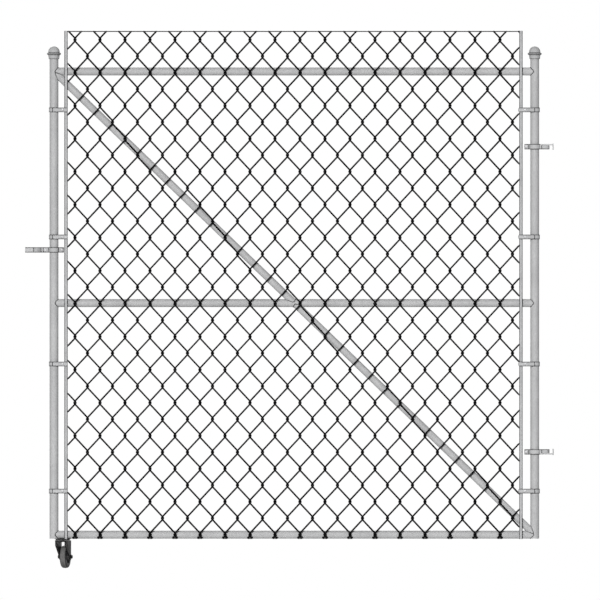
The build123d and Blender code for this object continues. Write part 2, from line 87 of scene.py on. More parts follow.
# Bends of the straps, from the axis of their upright
latch_band_crease = 7.3 * MM
hinge_flange_bend = 28.8 * MM
hinge_knuckle_bend = 32.6 * MM
fork_bend = 97.3 * MM
fork_lug_end = 51.3 * MM
clamp_outer_bend = 25.9 * MM
clamp_inner_bend = 22.0 * MM

# The cap's flange, from the cap's foot
cap_flange_foot = 19.6 * MM
cap_flange_top = 29.2 * MM

# Painted shade, with some dirt, along edges, in bends and at ends
shade_and_dirt_black = (0.045, 0.045, 0.047)
line_fade = 1.1 * MM
rim_dark_depth = 2.6 * MM
rim_unshaded_depth = 4.4 * MM
rim_raggedness = 0.5 * MM
fully_worn_edge = 0.25

# Woven wire
column_pitch = 59.96 * MM
row_pitch = 79.15 * MM
first_column_x = latch_upright.x + 100.7 * MM
column_count = 36
row_count = 31
wire_radius = 4.2 * MM
wire_sides = 8
twist_radius = 4.25 * MM
twist_half_height = 7.4 * MM
bend_steps = 6
back_allowance = 0.2 * MM
weave_y = mesh_back_y + back_allowance - wire_radius - twist_radius
front_y = weave_y - twist_radius
back_y = weave_y + twist_radius
leg_rise = row_pitch - 2 * twist_half_height

# The wire is thinner behind the bars, where it has to pass between bar and band
pinched_radius = 2.75 * MM
bar_clearance = 0.1 * MM
pinched_y = latch_bar.y + bar_half_depth + pinched_radius + bar_clearance
pinch_length = 5.0 * MM
pinch_shift = 0.2 * MM
turn_inset = 1.0 * MM
turn_depth = 2.5 * MM
turn_corner = 5 * MM

# The cut end under the lowest nodes: how far aside and how far up from its lowest place
foot_hook = ((1.0 * MM, 0.0), (8.6 * MM, 0.0), (11.2 * MM, 1.1 * MM), (11.0 * MM, 3.4 * MM))
hook_join_aside = 5.4 * MM
hook_join_drop = 10.9 * MM

# The cut ends at the top wire and the rings that hold them to it
beside_top_wire = wire_radius + 2.4 * MM
end_above_top_wire = 0.4 * MM
sway_share = 0.45
ring_sides = 14
ring_wire_radius = 0.8 * MM
ring_half_height = wire_radius + 1.9 * MM
ring_flatness = 0.66

# Weld beads
bead_radius = 2.3 * MM
bead_sunk = 0.7 * MM
bead_steps = 96
bead_ripples = ((0.13, 2.1), (0.05, 0.7))
saddle_half = 11.6 * MM
saddle_bead_radius = 1.9 * MM
saddle_bead_sunk = 0.6 * MM
saddle_bead_steps = 30
saddle_from_upright = 2 * MM
saddle_from_plate_end = 1.5 * MM

# Bolts: radius of the shank, radius of the head and height of the head
band_bolt = (3.9 * MM, 6.4 * MM, 1.7 * MM)
strap_bolt = (4.7 * MM, 8.0 * MM, 2.2 * MM)
head_sunk = 0.1 * MM
head_foot = 0.35 * MM
dome_steps = 6
dome_tip = 0.15 * MM
washer_ratio = 2.05
washer_top = 1.5 * MM
nut_ratio = 1.62
nut_top = 7.4 * MM
thread_start = 6.5 * MM
thread_end = 11.0 * MM
thread_pitch = 1.25 * MM
thread_depth = 0.45 * MM
point_depth = 1.0 * MM
point_height = 0.5 * MM
band_front_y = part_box("latch_tension_band_1")[0].y
band_leg_back_y = mesh_back_y + 3.1 * MM
band_bend_end = 33 * MM
flange_face_y = 7 * MM
strap_bolt_from_upright = 40 * MM
clamp_bolt_from_upright = 38.5 * MM

# Countersunk screws of the pintle plates, as radius, height and True for a hexagon
screw_spacing = 60 * MM
plate_front_x = -6 * MM
screw_head = [
    (4.9 * MM, -5.9 * MM),
    (4.9 * MM, -4.4 * MM),
    (9.0 * MM, -0.3 * MM),
    (8.7 * MM, 0.0),
    (3.7 * MM, 0.0),
    (3.1 * MM, -0.4 * MM, True),
    (3.1 * MM, -3.4 * MM, True),
    (0.2 * MM, -3.8 * MM),
]

# Floor and camera
photo_width = 600
pixel_size = 4.797 * MM
view_middle = Vector((-1217.2 * MM, 0, 728.7 * MM))
camera_distance = 6
floor_half = 24.0
floor_lift = 0.45


# Materials


class Nodes:
    """A material's node tree, with short calls for the nodes used here."""

    def __init__(self, name, metallic, roughness, specular):
        self.material = bpy.data.materials.new(name)
        self.material.use_nodes = True
        self.tree = self.material.node_tree
        self.shader = self.tree.nodes["Principled BSDF"]
        self.shader.inputs["Metallic"].default_value = metallic
        self.shader.inputs["Roughness"].default_value = roughness
        self.shader.inputs["Specular IOR Level"].default_value = specular
        self.place = self.add("ShaderNodeTexCoord").outputs["Object"]

    def add(self, kind, **values):
        """A new node with some of its settings."""
        node = self.tree.nodes.new(kind)
        for key, value in values.items():
            setattr(node, key, value)
        return node

    def link(self, source, target):
        """Joins an output to an input."""
        self.tree.links.new(source, target)

    def stretched(self, scale):
        """The place, scaled apart along each axis."""
        mapping = self.add("ShaderNodeMapping")
        mapping.inputs["Scale"].default_value = scale
        self.link(self.place, mapping.inputs["Vector"])
        return mapping.outputs["Vector"]

    def noise(self, scale, detail, rough, place=None):
        """Soft noise from 0 to 1."""
        node = self.add("ShaderNodeTexNoise")
        node.inputs["Scale"].default_value = scale
        node.inputs["Detail"].default_value = detail
        node.inputs["Roughness"].default_value = rough
        self.link(place or self.place, node.inputs["Vector"])
        return node.outputs["Fac"]

    def cells(self, scale, feature="F1", output="Color"):
        """Cells like crystals, as a colour for each or as a distance."""
        node = self.add("ShaderNodeTexVoronoi", feature=feature)
        node.inputs["Scale"].default_value = scale
        self.link(self.place, node.inputs["Vector"])
        return node.outputs[output]

    def spread(self, value, low, high, to_low=0.0, to_high=1.0):
        """A value spread from one range to another, held at its ends."""
        node = self.add("ShaderNodeMapRange")
        limits = {"From Min": low, "From Max": high, "To Min": to_low, "To Max": to_high}
        for name, number in limits.items():
            node.inputs[name].default_value = number
        self.link(value, node.inputs["Value"])
        return node.outputs["Result"]

    def maths(self, operation, first, second=None):
        """A sum of one or two numbers or sockets."""
        node = self.add("ShaderNodeMath", operation=operation)
        for socket, value in zip(node.inputs, (first, second)):
            if isinstance(value, (int, float)):
                socket.default_value = value
            elif value is not None:
                self.link(value, socket)
        return node.outputs["Value"]

    def mix(self, factor, first, second):
        """The first colour passing into the second with the factor."""
        node = self.add("ShaderNodeMix", data_type="RGBA")
        for socket, value in ((node.inputs[0], factor), (node.inputs[6], first), (node.inputs[7], second)):
            if isinstance(value, tuple):
                socket.default_value = (*value, 1.0)
            else:
                self.link(value, socket)
        return node.outputs[2]

    def bump(self, height, distance, strength, under=None):
        """A rough normal, laid over another where one is given."""
        node = self.add("ShaderNodeBump")
        node.inputs["Distance"].default_value = distance
        node.inputs["Strength"].default_value = strength
        self.link(height, node.inputs["Height"])
        if under is not None:
            self.link(under, node.inputs["Normal"])
        return node.outputs["Normal"]

    def edge_wear(self, radius):
        """1 on edges and corners, 0 on flat faces, from a rounded normal."""
        bevel = self.add("ShaderNodeBevel", samples=4)
        bevel.inputs["Radius"].default_value = radius
        geometry = self.add("ShaderNodeNewGeometry")
        apart = self.add("ShaderNodeVectorMath", operation="DISTANCE")
        self.link(bevel.outputs["Normal"], apart.inputs[0])
        self.link(geometry.outputs["Normal"], apart.inputs[1])
        return self.spread(apart.outputs["Value"], 0.0, fully_worn_edge)

    def depth_inside(self, strips):
        """How far a point is inside the edges of the strip that it is in, from (axis, middle, half width)."""
        split = self.add("ShaderNodeSeparateXYZ")
        self.link(self.place, split.inputs[0])
        deepest = None
        for axis, centre, half in strips:
            away = self.maths("ABSOLUTE", self.maths("SUBTRACT", split.outputs[axis], centre))
            depth = self.maths("SUBTRACT", half, away)
            deepest = depth if deepest is None else self.maths("MAXIMUM", deepest, depth)
        return deepest

    def finish(self, colour, roughness=None, normal=None):
        """The material with its colour, and with its roughness and normal where they vary."""
        self.link(colour, self.shader.inputs["Base Color"])
        if roughness is not None:
            self.link(roughness, self.shader.inputs["Roughness"])
        if normal is not None:
            self.link(normal, self.shader.inputs["Normal"])
        return self.material


def zinc(name, pale, dark, spangle, edge_dirt_and_shade=0.35, sandy=0.0, edge=0.6 * MM, rim=(), lines=()):
    """Hot dip zinc: crystal spangle, dull patina, runs, a little white rust, and edges darkened by dirt and
    painted shade.

    rim lists (axis, middle, half width) of flat straps, whose edges are painted dark grey as shade.
    lines lists (axis, place, half width, depth of tone) of bends, grooves and ends painted darker as shade,
    with some dirt.
    """
    m = Nodes(name, metallic=0.05, roughness=0.6, specular=0.0)
    m.shader.inputs["Specular Tint"].default_value = (0.35, 0.35, 0.36, 1.0)
    grey = m.add("ShaderNodeRGBToBW")
    m.link(m.cells(spangle), grey.inputs["Color"])
    crystal = m.spread(grey.outputs["Val"], 0.1, 0.9)
    patina = m.spread(m.noise(9.0, 5.0, 0.6), 0.35, 0.68)
    runs = m.spread(m.noise(1.0, 4.0, 0.6, place=m.stretched((110.0, 110.0, 5.0))), 0.5, 0.78)
    bloom = m.spread(m.noise(46.0, 6.0, 0.7), 0.62, 0.74)
    darker = tuple(0.86 * c for c in dark)
    paler = tuple(min(1.0, 1.16 * c) for c in pale)
    base = m.mix(m.spread(crystal, 0.0, 1.0, 0.0, 0.5), pale, dark)
    base = m.mix(m.maths("MULTIPLY", patina, 0.45), base, darker)
    base = m.mix(m.maths("MULTIPLY", runs, 0.22), base, paler)
    base = m.mix(m.maths("MULTIPLY", bloom, 0.3), base, (0.66, 0.662, 0.66))
    # Edge darkening from a rounded normal: dirt, and where it is strong, on straps and bars, painted shade
    # too
    dirt = m.maths("MULTIPLY", m.edge_wear(edge), m.spread(m.noise(75.0, 4.0, 0.6), 0.2, 0.6, 0.6, 1.0))
    base = m.mix(m.maths("MULTIPLY", dirt, edge_dirt_and_shade), base, (0.1, 0.1, 0.103))
    # Painted shade: a dark band along each flat strap's edges, ragged on its inner side
    if rim:
        waver = m.spread(m.noise(55.0, 4.0, 0.6), 0.3, 0.7, -1.0, 1.0)
        inside = m.maths("ADD", m.depth_inside(rim), m.maths("MULTIPLY", waver, rim_raggedness))
        dull = m.spread(inside, rim_dark_depth, rim_unshaded_depth, 1.0, 0.0)
        base = m.mix(m.maths("MULTIPLY", dull, 0.88), base, shade_and_dirt_black)
    # Painted shade, with some dirt: a dark line along each bend, groove and end
    for axis, place, half, tone in lines:
        away = m.maths("MULTIPLY", m.depth_inside([(axis, place, 0.0)]), -1.0)
        base = m.mix(m.spread(away, half, half + line_fade, tone, 0.0), base, shade_and_dirt_black)
    rough = m.maths("ADD", m.spread(crystal, 0.0, 1.0, 0.56, 0.7), m.maths("MULTIPLY", bloom, 0.15))
    normal = m.bump(m.noise(60.0, 4.0, 0.55), 0.6 * MM, 0.3)
    normal = m.bump(m.noise(900.0, 3.0, 0.6), 0.1 * MM, 0.2 + sandy, under=normal)
    if sandy:
        normal = m.bump(m.noise(420.0, 4.0, 0.7), 0.5 * MM, sandy, under=normal)
    return m.finish(base, rough, normal)


def strap_zinc(name, straps, lines):
    """The zinc of bent straps, with painted shade along their edges and where they bend or end."""
    rim = []
    for node in straps:
        low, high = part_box(node)
        rim.append((Z, (low.z + high.z) / 2, (high.z - low.z) / 2))
    pale, dark = (0.58, 0.583, 0.588), (0.46, 0.463, 0.47)
    return zinc(name, pale, dark, 240.0, edge_dirt_and_shade=0.8, edge=1.6 * MM, rim=rim, lines=lines)


def coated_wire():
    """Black polymer on steel wire: matt, a little dusty, with a few scuffs."""
    m = Nodes("coated_wire", metallic=0.0, roughness=0.5, specular=0.03)
    dust = m.spread(m.noise(14.0, 5.0, 0.65), 0.45, 0.72)
    scuff = m.spread(m.noise(230.0, 4.0, 0.7), 0.66, 0.74)
    base = m.mix(m.maths("MULTIPLY", dust, 0.45), (0.004, 0.004, 0.0045), (0.014, 0.014, 0.0135))
    base = m.mix(m.maths("MULTIPLY", scuff, 0.4), base, (0.06, 0.06, 0.06))
    normal = m.bump(m.noise(520.0, 3.0, 0.5), 0.15 * MM, 0.4)
    return m.finish(base, m.spread(dust, 0.0, 1.0, 0.42, 0.6), normal)


def bright_zinc():
    """Plated bolts and nuts: brighter and smoother than the dipped parts, dull in the threads."""
    m = Nodes("zinc_hardware", metallic=0.3, roughness=0.45, specular=0.2)
    tarnish = m.spread(m.noise(120.0, 5.0, 0.65), 0.4, 0.7)
    turned = m.noise(1.0, 3.0, 0.6, place=m.stretched((900.0, 240.0, 900.0)))
    base = m.mix(m.maths("MULTIPLY", tarnish, 0.6), (0.46, 0.46, 0.47), (0.3, 0.3, 0.3))
    base = m.mix(m.maths("MULTIPLY", m.edge_wear(0.5 * MM), 0.5), base, (0.24, 0.24, 0.24))
    return m.finish(base, m.spread(tarnish, 0.0, 1.0, 0.4, 0.6), m.bump(turned, 0.2 * MM, 0.4))


def black_coat():
    """Black powder coat on the caster: fine orange peel, dust on top, bare steel on worn edges."""
    m = Nodes("black_caster", metallic=0.0, roughness=0.42, specular=0.05)
    dust = m.spread(m.noise(22.0, 5.0, 0.6), 0.42, 0.7)
    worn = m.maths("MULTIPLY", m.edge_wear(1.7 * MM), m.spread(m.noise(160.0, 4.0, 0.7), 0.38, 0.56))
    base = m.mix(m.maths("MULTIPLY", dust, 0.5), (0.006, 0.006, 0.0065), (0.024, 0.0235, 0.0225))
    base = m.mix(m.maths("MULTIPLY", worn, 0.6), base, (0.26, 0.26, 0.26))
    normal = m.bump(m.noise(620.0, 2.0, 0.5), 0.25 * MM, 0.5)
    return m.finish(base, m.spread(dust, 0.0, 1.0, 0.36, 0.6), normal)


def cast_black():
    """The wheel centre: painted casting with a sandy skin."""
    m = Nodes("wheel_centre", metallic=0.0, roughness=0.55, specular=0.35)
    dust = m.spread(m.noise(40.0, 5.0, 0.65), 0.4, 0.7)
    base = m.mix(m.maths("MULTIPLY", dust, 0.6), (0.014, 0.014, 0.015), (0.05, 0.048, 0.045))
    base = m.mix(m.maths("MULTIPLY", m.edge_wear(0.8 * MM), 0.5), base, (0.14, 0.14, 0.14))
    normal = m.bump(m.noise(380.0, 4.0, 0.7), 0.4 * MM, 0.7)
    return m.finish(base, m.spread(dust, 0.0, 1.0, 0.48, 0.7), normal)


def rubber(wheel, axle, tread_from):
    """Dark rubber: dusty grey where it rolls, blacker on the side walls, nicked and scuffed."""
    m = Nodes("wheel_rubber", metallic=0.0, roughness=0.75, specular=0.25)
    shift = m.add("ShaderNodeVectorMath", operation="SUBTRACT")
    shift.inputs[1].default_value = wheel
    m.link(m.place, shift.inputs[0])
    along = m.add("ShaderNodeVectorMath", operation="DOT_PRODUCT")
    along.inputs[1].default_value = axle
    m.link(shift.outputs["Vector"], along.inputs[0])
    length = m.add("ShaderNodeVectorMath", operation="LENGTH")
    m.link(shift.outputs["Vector"], length.inputs[0])
    squares = [m.maths("POWER", node.outputs["Value"], 2.0) for node in (length, along)]
    radius = m.maths("SQRT", m.maths("MAXIMUM", m.maths("SUBTRACT", *squares), 0.0))
    tread = m.spread(radius, tread_from - 0.6 * MM, tread_from + 0.9 * MM)
    dirt = m.spread(m.noise(60.0, 6.0, 0.7), 0.35, 0.65, 0.55, 1.0)
    base = m.mix(m.maths("MULTIPLY", tread, dirt), (0.01, 0.01, 0.011), (0.183, 0.181, 0.178))
    base = m.mix(m.spread(m.noise(300.0, 5.0, 0.7), 0.6, 0.72, 0.0, 0.4), base, (0.07, 0.069, 0.067))
    nick = m.spread(m.cells(260.0, feature="DISTANCE_TO_EDGE", output="Distance"), 0.0, 0.08)
    normal = m.bump(m.noise(240.0, 5.0, 0.7), 0.4 * MM, 0.6)
    normal = m.bump(nick, 0.15 * MM, 0.25, under=normal)
    return m.finish(base, m.spread(tread, 0.0, 1.0, 0.62, 0.85), normal)


def weld_metal():
    """Weld beads left as they cooled: rippled, and darker than the tube."""
    m = Nodes("weld_bead", metallic=0.2, roughness=0.5, specular=0.2)
    heat = m.spread(m.noise(70.0, 5.0, 0.65), 0.38, 0.68)
    base = m.mix(heat, (0.13, 0.13, 0.133), (0.05, 0.05, 0.051))
    spatter = m.spread(m.cells(330.0, output="Distance"), 0.1, 0.4)
    normal = m.bump(spatter, 0.4 * MM, 0.5)
    normal = m.bump(m.noise(200.0, 4.0, 0.7), 0.5 * MM, 0.7, under=normal)
    return m.finish(base, m.spread(heat, 0.0, 1.0, 0.4, 0.6), normal)


latch_band_end_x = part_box("latch_tension_band_1")[1].x
hinge_band_tip_x, hinge_band_end_x = (corner.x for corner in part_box("hinge_tension_band_1"))
strap_tip_x, strap_end_x = (corner.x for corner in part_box("upper_hinge_strap"))
clamp_end_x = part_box("latch_clamp_front")[1].x
cap_foot_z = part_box("latch_upright_cap")[0].z
flange_foot_z = cap_foot_z + cap_flange_foot
flange_top_z = cap_foot_z + cap_flange_top

tube_zinc = zinc("galvanized_tube", (0.56, 0.562, 0.565), (0.45, 0.452, 0.458), 150.0)
# Painted shade lines, with some dirt, at the bends and ends of the bands, hinge straps and latch
latch_band_zinc = strap_zinc(
    "latch_band", band_names[:4],
    [
        (X, latch_upright.x - latch_band_crease, 1.5 * MM, 0.9),
        (X, latch_band_end_x - 0.8 * MM, 1.5 * MM, 0.85),
    ],
)
hinge_band_zinc = strap_zinc(
    "hinge_band", band_names[4:],
    [
        (X, hinge_band_tip_x + 0.5 * MM, 1.2 * MM, 0.75),
        (X, hinge_upright.x, 1.5 * MM, 0.9),
        (X, hinge_band_end_x, 1.5 * MM, 0.85),
    ],
)
hinge_strap_zinc = strap_zinc(
    "hinge_strap", ["lower_hinge_strap", "upper_hinge_strap"],
    [
        (X, strap_tip_x + 0.8 * MM, 1.6 * MM, 0.85),
        (X, hinge_upright.x - hinge_flange_bend, 1.5 * MM, 0.8),
        (X, hinge_upright.x + hinge_knuckle_bend, 1.5 * MM, 0.85),
        (X, strap_end_x, 1.4 * MM, 0.8),
    ],
)
latch_zinc = strap_zinc(
    "latch_strap", ["latch_fork"],
    [
        (X, latch_upright.x - fork_bend, 1.6 * MM, 0.85),
        (X, latch_upright.x - fork_lug_end, 1.6 * MM, 0.92),
        (X, latch_upright.x - clamp_outer_bend, 1.5 * MM, 0.75),
        (X, latch_upright.x + clamp_inner_bend, 1.4 * MM, 0.85),
        (X, clamp_end_x - 1.8 * MM, 2.6 * MM, 0.92),
    ],
)
bracket_zinc = zinc(
    "pintle_bracket", (0.6, 0.603, 0.608), (0.48, 0.483, 0.49), 240.0, edge_dirt_and_shade=0.6, edge=1.2 * MM
)
# The tension bars: painted shade as dark bands down both long edges
bar_zinc = zinc(
    "tension_bar", (0.56, 0.563, 0.568), (0.44, 0.443, 0.45), 240.0, edge_dirt_and_shade=0.8, edge=1.6 * MM,
    rim=[(X, bar.x, bar_half_width) for bar in (latch_bar, hinge_bar)],
)
# The cap: painted shade lines at its foot and at the flange's foot and top, and a faint darker band round the
# flange's middle
cap_zinc = zinc(
    "cast_cap", (0.54, 0.543, 0.547), (0.43, 0.433, 0.438), 420.0, sandy=0.5, edge_dirt_and_shade=0.6,
    lines=[
        (Z, cap_foot_z + 0.5 * MM, 1.6 * MM, 0.7),
        (Z, flange_foot_z + 0.6 * MM, 1.5 * MM, 0.85),
        (Z, flange_top_z, 1.5 * MM, 0.85),
        (Z, (flange_foot_z + flange_top_z) / 2, 4.8 * MM, 0.3),
    ],
)
finishes = {
    "galvanized_tube": tube_zinc,
    "galvanized_fitting": hinge_strap_zinc,
    "cast_cap": cap_zinc,
    "coated_wire": coated_wire(),
    "zinc_hardware": bright_zinc(),
    "black_caster": black_coat(),
    "wheel_centre": cast_black(),
    "wheel_rubber": rubber(wheel_centre, axle_dir, tyre_shoulder),
}
weld_finish = weld_metal()


def dress(obj, material):
    """Gives an object one material."""
    obj.data.materials.clear()
    obj.data.materials.append(material)


for row in frame["record"]["subparts"]:
    dress(nodes[row["node"]], finishes[row["material_slot"]])
for material, names in (
    (bar_zinc, ("latch_tension_bar", "hinge_tension_bar")),
    (latch_band_zinc, band_names[:4]),
    (hinge_band_zinc, band_names[4:]),
    (latch_zinc, ("latch_clamp_front", "latch_clamp_back", "latch_fork")),
    (bracket_zinc, ("lower_pintle", "upper_pintle")),
):
    for name in names:
        dress(nodes[name], material)


# Mesh building


class Shape:
    """Vertices and faces gathered from several simple forms."""

    def __init__(self):
        self.points = []
        self.faces = []

    def tube(self, path, radius, sides=8, closed=False):
        """A round bar along a path; radius may be a number or one for each point."""
        count = len(path)
        radii = radius if isinstance(radius, list) else [radius] * count
        start = len(self.points)
        across = None
        for i, point in enumerate(path):
            before = path[i - 1] if i or closed else point
            after = path[(i + 1) % count] if i + 1 < count or closed else point
            ahead = (after - before).normalized()
            if across is None:
                across = ahead.orthogonal().normalized()
            across = (across - ahead * across.dot(ahead)).normalized()
            other = ahead.cross(across)
            for k in range(sides):
                turn = 2 * pi * k / sides
                self.points.append(point + (across * cos(turn) + other * sin(turn)) * radii[i])
        last = count if closed else count - 1
        for i in range(last):
            self.join(start + i * sides, start + (i + 1) % count * sides, sides)
        if not closed:
            self.cap(start, start + (count - 1) * sides, sides)

    def lathe(self, profile, place, sides=24):
        """Turns (radius, height) points about a matrix's Z axis; a third value of True makes a hexagon."""
        start = len(self.points)
        for radius, height, *six in profile:
            for k in range(sides):
                turn = 2 * pi * k / sides
                reach = radius / cos((turn + pi / 6) % (pi / 3) - pi / 6) if six else radius
                self.points.append(place @ Vector((reach * cos(turn), reach * sin(turn), height)))
        for i in range(len(profile) - 1):
            self.join(start + i * sides, start + (i + 1) * sides, sides)
        self.cap(start, start + (len(profile) - 1) * sides, sides)

    def join(self, here, there, sides):
        """Faces between two rings of points."""
        for k in range(sides):
            n = (k + 1) % sides
            self.faces.append((here + k, here + n, there + n, there + k))

    def cap(self, start, end, sides):
        """Faces that close the first and the last ring."""
        self.faces.append(tuple(start + k for k in reversed(range(sides))))
        self.faces.append(tuple(end + k for k in range(sides)))

    def make(self, name, material, body, smooth_angle=radians(40)):
        """The finished object, riding on its body."""
        mesh = bpy.data.meshes.new(name)
        mesh.from_pydata([tuple(p) for p in self.points], [], self.faces)
        mesh.update()
        mesh.shade_smooth()
        mesh.set_sharp_from_angle(angle=smooth_angle)
        obj = bpy.data.objects.new(name, mesh)
        bpy.context.scene.collection.objects.link(obj)
        dress(obj, material)
        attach(obj, body)
        return obj


def facing(origin, z_axis):
    """A matrix at a point with its Z axis along a direction."""
    z_axis = Vector(z_axis).normalized()
    return Matrix.Translation(origin) @ z_axis.to_track_quat("Z", "Y").to_matrix().to_4x4()


# Woven wire


def column_x(column):
    """Where a column of nodes stands."""
    return first_column_x + column * column_pitch


def row_z(row):
    """How high a row of nodes is."""
    return bottom_rail.z + row * row_pitch


def bend(column, row, leftward):
    """The half turn that hooks one wire round the next, upwards from back to front or front to back."""
    start = 90 if leftward else -90
    points = []
    for step in range(bend_steps + 1):
        share = step / bend_steps
        turn = radians(start + 180 * share)
        x = column_x(column) + twist_radius * cos(turn)
        y = weave_y + twist_radius * sin(turn)
        points.append(Vector((x, y, row_z(row) + (2 * share - 1) * twist_half_height)))
    return points


def bar_turn(row, side):
    """The same turn where a wire's edge is caught behind a tension bar; side is -1 at the latch."""
    bar = latch_bar if side < 0 else hinge_bar
    inner_column = 0 if side < 0 else column_count - 1
    edge_x = bar.x - side * bar_half_width
    full_x = edge_x - side * pinch_length
    turn_x = bar.x - side * turn_inset
    inside_x = turn_x + side * turn_depth
    full_y = pinched_y - pinch_shift

    def offset(x):
        share = abs(x - column_x(inner_column)) / column_pitch
        return row_pitch - twist_half_height - share * leg_rise

    upper_half = (
        (inside_x, pinched_y, offset(turn_x) - turn_corner),
        (turn_x, pinched_y, offset(turn_x)),
        (edge_x, pinched_y, offset(edge_x)),
        (full_x, full_y, offset(full_x)),
    )
    lower_half = [(x, y, -rise) for x, y, rise in reversed(upper_half)]
    return [Vector((x, y, row_z(row) + rise)) for x, y, rise in (*lower_half, *upper_half)]


def foot_knuckle(column, leftward):
    """The cut end under the bottom row, turned back under its node."""
    side = 1 if leftward else -1
    x = column_x(column)
    y = back_y if leftward else front_y
    lowest = mesh_foot_z + wire_radius
    hook = [Vector((x + side * aside, y, lowest + rise)) for aside, rise in foot_hook]
    return [*hook, Vector((x + side * hook_join_aside, y, row_z(0) - hook_join_drop))]


def picket(index):
    """One wire of the mesh from its foot to the top wire."""
    points = []
    for row in range(row_count):
        leftward = (index + row) % 2 == 0
        column = index if leftward else index + 1
        if column in (-1, column_count):
            turn = bar_turn(row, -1 if column < 0 else 1)
            if row == 0:
                turn = turn[4:]
            elif row == row_count - 1:
                turn = turn[:-2]
            points += turn
        else:
            if row == 0:
                points += foot_knuckle(column, leftward)
            points += bend(column, row, leftward)
    top_z = top_wire.z + end_above_top_wire
    start = points[-1]
    heading = 1 if leftward else -1
    end_x = start.x + heading * (top_z - start.z) / leg_rise * column_pitch
    if not leftward:
        points.append(start.lerp(Vector((end_x, back_y, top_z)), sway_share))
    points.append(Vector((end_x, top_wire.y - heading * beside_top_wire, top_z)))
    return points


def top_ring(end):
    """A ring round the top wire and the end of a wire beside it, flatter on top."""
    ring_y = (end.y + top_wire.y) / 2
    half_y = abs(end.y - top_wire.y) / 2 + wire_radius + ring_wire_radius
    ring = []
    for k in range(ring_sides):
        turn = 2 * pi * k / ring_sides
        rise = ring_half_height * sin(turn)
        if rise > 0:
            rise *= ring_flatness
        ring.append(Vector((end.x, ring_y + half_y * cos(turn), top_wire.z + rise)))
    return ring


wires = Shape()
rings = Shape()
for index in range(-1, column_count):
    path = picket(index)
    radii = [pinched_radius if abs(point.y - pinched_y) < 0.01 * MM else wire_radius for point in path]
    wires.tube(path, radii, sides=wire_sides)
    rings.tube(top_ring(path[-1]), ring_wire_radius, sides=6, closed=True)
wire_mesh = wires.make("woven_wire", finishes["coated_wire"], "leaf", radians(60))
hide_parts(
    "mesh_upper_latch_side",
    "mesh_upper_hinge_side",
    "mesh_lower_latch_side",
    "mesh_lower_hinge_side",
)
rings.make("top_wire_rings", finishes["coated_wire"], "leaf", radians(60))


# Weld beads


def leave(point, direction, core):
    """How far along a ruling line a solid round core ends, or none where the line misses it."""
    origin, axis, radius = core
    away = point - origin
    flat = direction - axis * direction.dot(axis)
    start = away - axis * away.dot(axis)
    a = flat.dot(flat)
    b = 2 * start.dot(flat)
    c = start.dot(start) - radius * radius
    inner = b * b - 4 * a * c
    if inner < 0:
        return None
    return (-b + sqrt(inner)) / (2 * a)


def coped_ring(start, end, radius, cores):
    """The line where a tube from start towards end comes out of the solid cores."""
    direction = (end - start).normalized()
    across = Vector((0, 1, 0))
    other = direction.cross(across)
    points = []
    for k in range(bead_steps):
        turn = 2 * pi * k / bead_steps
        point = start + (across * cos(turn) + other * sin(turn)) * (radius - bead_sunk)
        ends = [leave(point, direction, core) for core in cores]
        reach = max([e for e in ends if e is not None], default=0.0)
        points.append(point + direction * reach)
    return points


def bead(shape, points, radius=bead_radius, closed=True):
    """A rippled weld bead along a line of points."""
    radii = []
    for i in range(len(points)):
        ripple = sum(depth * sin(pace * i) for depth, pace in bead_ripples)
        radii.append(radius * (1 + ripple))
    shape.tube(points, radii, sides=8, closed=closed)


up = Vector((0, 0, 1))
right = Vector((1, 0, 0))
rail_y = top_rail.y
latch_core = (Vector((latch_upright.x, 0, 0)), up, upright_radius)
hinge_core = (Vector((hinge_upright.x, 0, 0)), up, upright_radius)
frame_welds = Shape()
rail_cores = []
for rail in (top_rail, middle_rail, bottom_rail):
    left_end = Vector((latch_upright.x, rail_y, rail.z))
    right_end = Vector((hinge_upright.x, rail_y, rail.z))
    bead(frame_welds, coped_ring(left_end, right_end, rail_radius, [latch_core]))
    bead(frame_welds, coped_ring(right_end, left_end, rail_radius, [hinge_core]))
    rail_cores.append((Vector((0, rail_y, rail.z)), right, rail_radius))
top_core, middle_core, bottom_core = rail_cores
upper_start = Vector((latch_upright.x, brace_y, top_rail.z))
frame_middle = Vector(((latch_upright.x + hinge_upright.x) / 2, brace_y, middle_rail.z))
lower_end = Vector((hinge_upright.x, brace_y, bottom_rail.z))
for start, end, cores in (
    (upper_start, frame_middle, [latch_core, top_core]),
    (frame_middle, upper_start, [middle_core]),
    (frame_middle, lower_end, [middle_core]),
    (lower_end, frame_middle, [hinge_core, bottom_core]),
):
    bead(frame_welds, coped_ring(start, end, brace_radius, cores))
saddle_z = bottom_rail.z - sqrt(rail_radius ** 2 - saddle_half ** 2) - saddle_bead_sunk
saddle_start_x = latch_upright.x + upright_radius + saddle_from_upright
saddle_end_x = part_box("caster_plate")[1].x - saddle_from_plate_end
for side in (-1, 1):
    y = rail_y + side * saddle_half
    start = Vector((saddle_start_x, y, saddle_z))
    end = Vector((saddle_end_x, y, saddle_z))
    line = [start.lerp(end, i / saddle_bead_steps) for i in range(saddle_bead_steps + 1)]
    bead(frame_welds, line, radius=saddle_bead_radius, closed=False)
frame_welds.make("weld_beads", weld_finish, "leaf", radians(60))


# Bolts, nuts and screws


def thread_profile(radius):
    """A threaded end, as ridges with a blunt point."""
    profile = []
    height = thread_start
    while height + thread_pitch <= thread_end:
        profile.append((radius - thread_depth, height))
        profile.append((radius, height + thread_pitch / 2))
        height += thread_pitch
    profile.append((radius - thread_depth, height))
    profile.append((radius - point_depth, height + point_height))
    return profile


def dome_profile(head, head_height):
    """The low dome of a carriage bolt."""
    dome = [(head, -head_sunk), (head, head_foot)]
    for i in range(1, dome_steps + 1):
        turn = i / dome_steps * pi / 2
        rise = head_foot + (head_height - head_foot) * sin(turn)
        dome.append((max(head * cos(turn), dome_tip), rise))
    return dome


